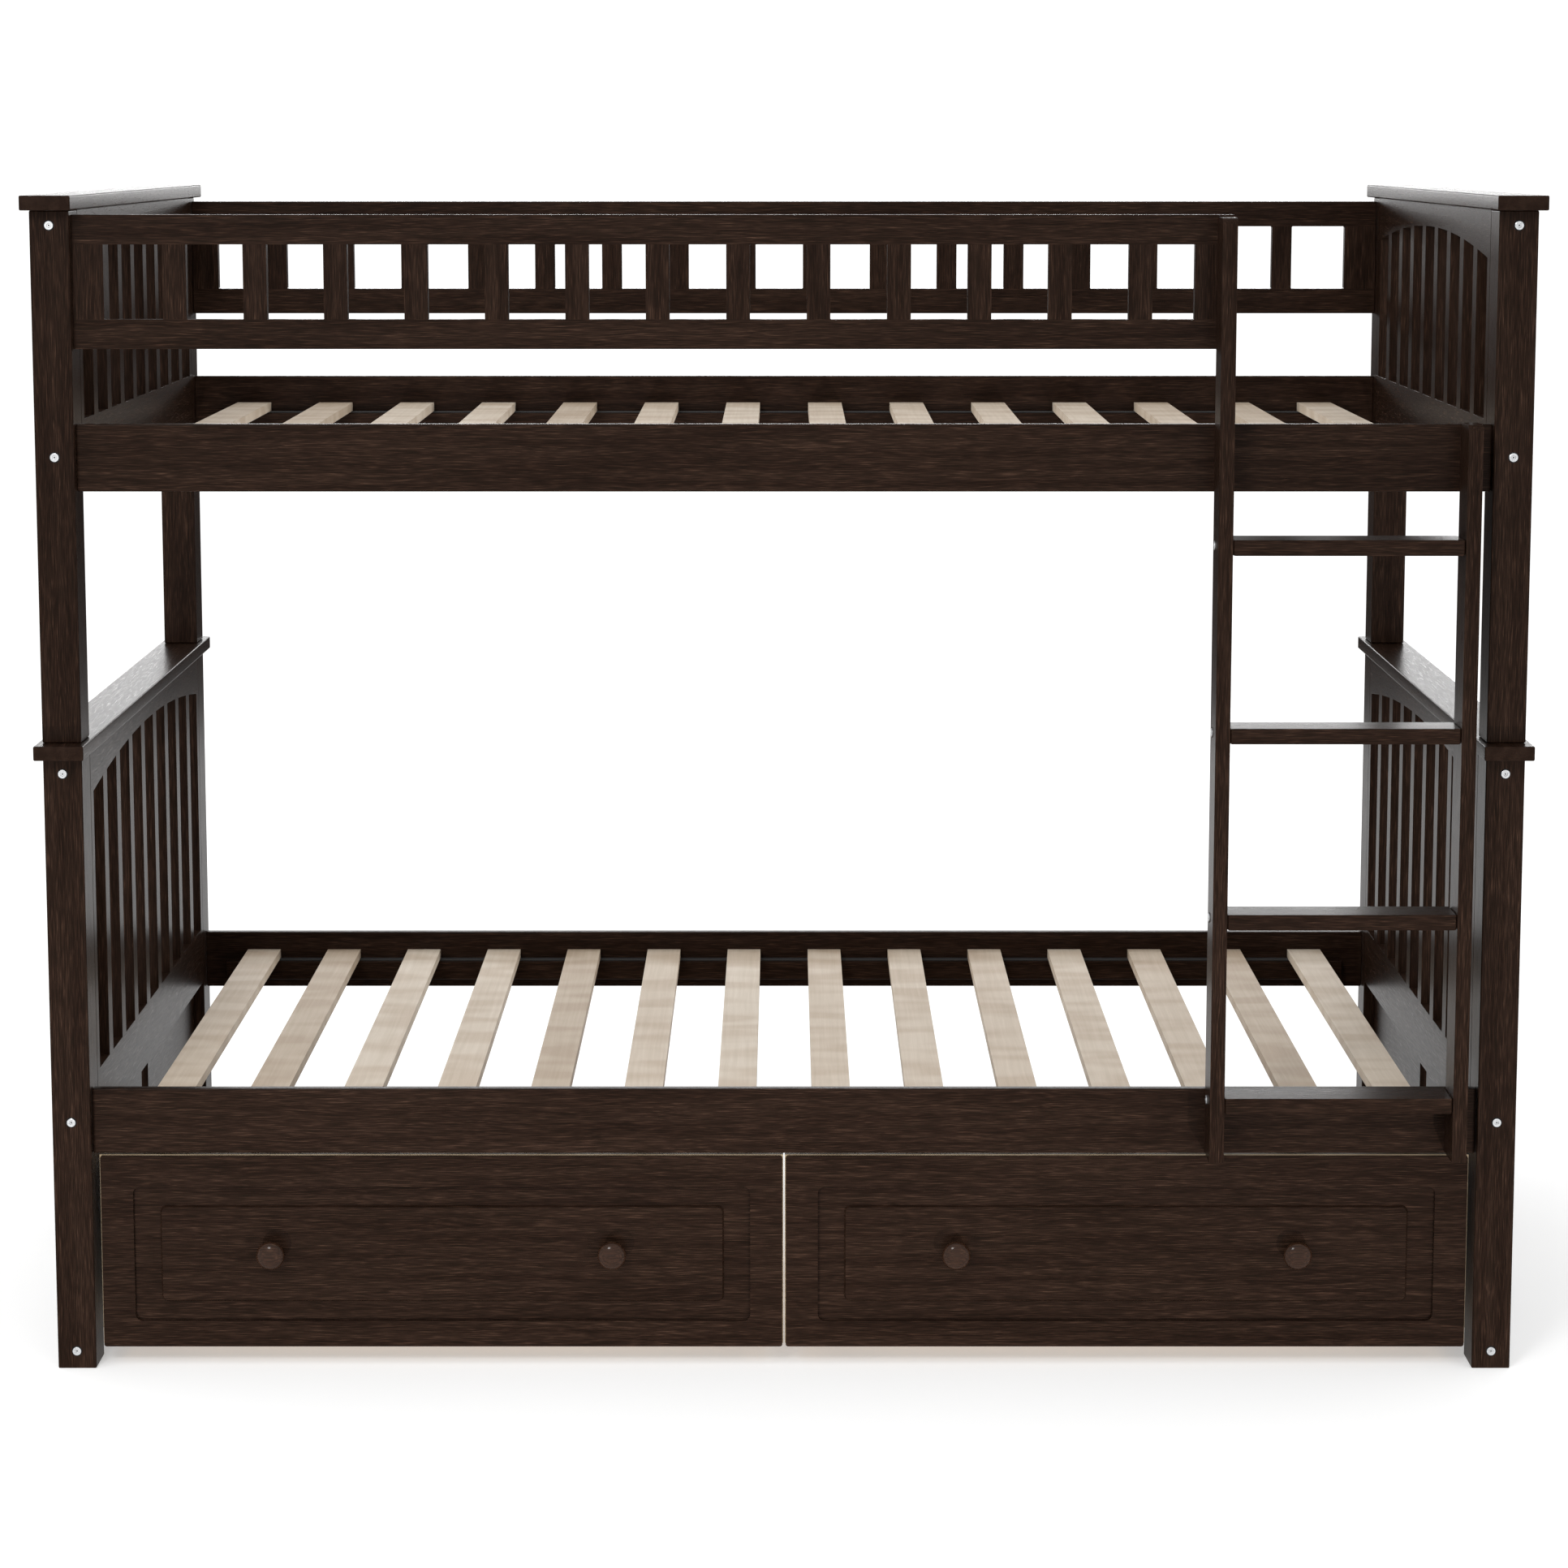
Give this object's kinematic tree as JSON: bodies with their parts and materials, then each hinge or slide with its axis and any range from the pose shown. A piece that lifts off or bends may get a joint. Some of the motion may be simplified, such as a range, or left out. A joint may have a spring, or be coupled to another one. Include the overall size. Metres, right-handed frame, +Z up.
{
  "type": "bunk bed",
  "caption": "Twin bunk bed with arched spindle ends, slatted bases, guard rails, a fixed front ladder and under-bed drawers on wheels.",
  "frame": {"origin": "on the floor, at the centre of the footprint of the whole bed with its ladder", "axes": "+X along the bed to the right, -Y towards the front with the ladder and drawers, +Z up"},
  "size_m": [2.045, 1.1198, 1.6314],
  "materials": {
    "espresso_wood": "espresso stain under satin lacquer",
    "birch_slat": "planed, clear sealed",
    "drawer_box_wood": "planed, clear sealed",
    "turned_knob": "espresso stain under gloss lacquer",
    "wheel_plastic": "moulded"
  },
  "bodies": {
    "frame": {"cap_lower_left": "espresso_wood", "cap_lower_right": "espresso_wood", "cap_upper_left": "espresso_wood", "cap_upper_right": "espresso_wood", "cleat_lower_front": "espresso_wood", "cleat_lower_rear": "espresso_wood", "cleat_upper_front": "espresso_wood", "cleat_upper_rear": "espresso_wood", "end_panel_lower_left": "espresso_wood", "end_panel_lower_right": "espresso_wood", "end_panel_upper_left": "espresso_wood", "end_panel_upper_right": "espresso_wood", "guard_rail_front": "espresso_wood", "guard_rail_rear": "espresso_wood", "ladder_rail_left": "espresso_wood", "ladder_rail_right": "espresso_wood", "ladder_step_1": "espresso_wood", "ladder_step_2": "espresso_wood", "ladder_step_3": "espresso_wood", "ladder_step_4": "espresso_wood", "post_lower_front_left": "espresso_wood", "post_lower_front_right": "espresso_wood", "post_lower_rear_left": "espresso_wood", "post_lower_rear_right": "espresso_wood", "post_upper_front_left": "espresso_wood", "post_upper_front_right": "espresso_wood", "post_upper_rear_left": "espresso_wood", "post_upper_rear_right": "espresso_wood", "side_rail_lower_front": "espresso_wood", "side_rail_lower_rear": "espresso_wood", "side_rail_upper_front": "espresso_wood", "side_rail_upper_rear": "espresso_wood", "skirt_front_left": "espresso_wood", "skirt_front_right": "espresso_wood", "skirt_rear_left": "espresso_wood", "skirt_rear_right": "espresso_wood", "slat_roll_lower": "birch_slat", "slat_roll_upper": "birch_slat"},
    "drawer_left": {"drawer_left_back": "drawer_box_wood", "drawer_left_bottom": "drawer_box_wood", "drawer_left_front": "espresso_wood", "drawer_left_knob_left": "turned_knob", "drawer_left_knob_right": "turned_knob", "drawer_left_side_left": "drawer_box_wood", "drawer_left_side_right": "drawer_box_wood"},
    "drawer_left_wheel_front_left": {"drawer_left_wheel_front_left": "wheel_plastic"},
    "drawer_left_wheel_front_right": {"drawer_left_wheel_front_right": "wheel_plastic"},
    "drawer_left_wheel_rear_left": {"drawer_left_wheel_rear_left": "wheel_plastic"},
    "drawer_left_wheel_rear_right": {"drawer_left_wheel_rear_right": "wheel_plastic"},
    "drawer_right": {"drawer_right_back": "drawer_box_wood", "drawer_right_bottom": "drawer_box_wood", "drawer_right_front": "espresso_wood", "drawer_right_knob_left": "turned_knob", "drawer_right_knob_right": "turned_knob", "drawer_right_side_left": "drawer_box_wood", "drawer_right_side_right": "drawer_box_wood"},
    "drawer_right_wheel_front_left": {"drawer_right_wheel_front_left": "wheel_plastic"},
    "drawer_right_wheel_front_right": {"drawer_right_wheel_front_right": "wheel_plastic"},
    "drawer_right_wheel_rear_left": {"drawer_right_wheel_rear_left": "wheel_plastic"},
    "drawer_right_wheel_rear_right": {"drawer_right_wheel_rear_right": "wheel_plastic"}
  },
  "joints": [
    {"name": "drawer_left_slide", "type": "slide", "parent": "frame", "child": "drawer_left", "axis": [0, -1, 0], "range_m": [0, 0.45]},
    {"name": "drawer_left_wheel_front_left_roll", "type": "hinge", "parent": "drawer_left", "child": "drawer_left_wheel_front_left", "pos_m": [-0.93075, -0.3628, 0.0305], "axis": [1, 0, 0], "continuous": true},
    {"name": "drawer_left_wheel_front_right_roll", "type": "hinge", "parent": "drawer_left", "child": "drawer_left_wheel_front_right", "pos_m": [-0.02425, -0.3628, 0.0305], "axis": [1, 0, 0], "continuous": true},
    {"name": "drawer_left_wheel_rear_left_roll", "type": "hinge", "parent": "drawer_left", "child": "drawer_left_wheel_rear_left", "pos_m": [-0.93075, -0.0828, 0.0305], "axis": [1, 0, 0], "continuous": true},
    {"name": "drawer_left_wheel_rear_right_roll", "type": "hinge", "parent": "drawer_left", "child": "drawer_left_wheel_rear_right", "pos_m": [-0.02425, -0.0828, 0.0305], "axis": [1, 0, 0], "continuous": true},
    {"name": "drawer_right_slide", "type": "slide", "parent": "frame", "child": "drawer_right", "axis": [0, -1, 0], "range_m": [0, 0.45]},
    {"name": "drawer_right_wheel_front_left_roll", "type": "hinge", "parent": "drawer_right", "child": "drawer_right_wheel_front_left", "pos_m": [0.02425, -0.3628, 0.0305], "axis": [1, 0, 0], "continuous": true},
    {"name": "drawer_right_wheel_front_right_roll", "type": "hinge", "parent": "drawer_right", "child": "drawer_right_wheel_front_right", "pos_m": [0.93075, -0.3628, 0.0305], "axis": [1, 0, 0], "continuous": true},
    {"name": "drawer_right_wheel_rear_left_roll", "type": "hinge", "parent": "drawer_right", "child": "drawer_right_wheel_rear_left", "pos_m": [0.02425, -0.0828, 0.0305], "axis": [1, 0, 0], "continuous": true},
    {"name": "drawer_right_wheel_rear_right_roll", "type": "hinge", "parent": "drawer_right", "child": "drawer_right_wheel_rear_right", "pos_m": [0.93075, -0.0828, 0.0305], "axis": [1, 0, 0], "continuous": true}
  ],
  "couplings": [
    {"joint": "drawer_left_wheel_front_left_roll", "follows": "drawer_left_slide", "rad_per_m": 33.333},
    {"joint": "drawer_left_wheel_front_right_roll", "follows": "drawer_left_slide", "rad_per_m": 33.333},
    {"joint": "drawer_left_wheel_rear_left_roll", "follows": "drawer_left_slide", "rad_per_m": 33.333},
    {"joint": "drawer_left_wheel_rear_right_roll", "follows": "drawer_left_slide", "rad_per_m": 33.333},
    {"joint": "drawer_right_wheel_front_left_roll", "follows": "drawer_right_slide", "rad_per_m": 33.333},
    {"joint": "drawer_right_wheel_front_right_roll", "follows": "drawer_right_slide", "rad_per_m": 33.333},
    {"joint": "drawer_right_wheel_rear_left_roll", "follows": "drawer_right_slide", "rad_per_m": 33.333},
    {"joint": "drawer_right_wheel_rear_right_roll", "follows": "drawer_right_slide", "rad_per_m": 33.333}
  ]
}
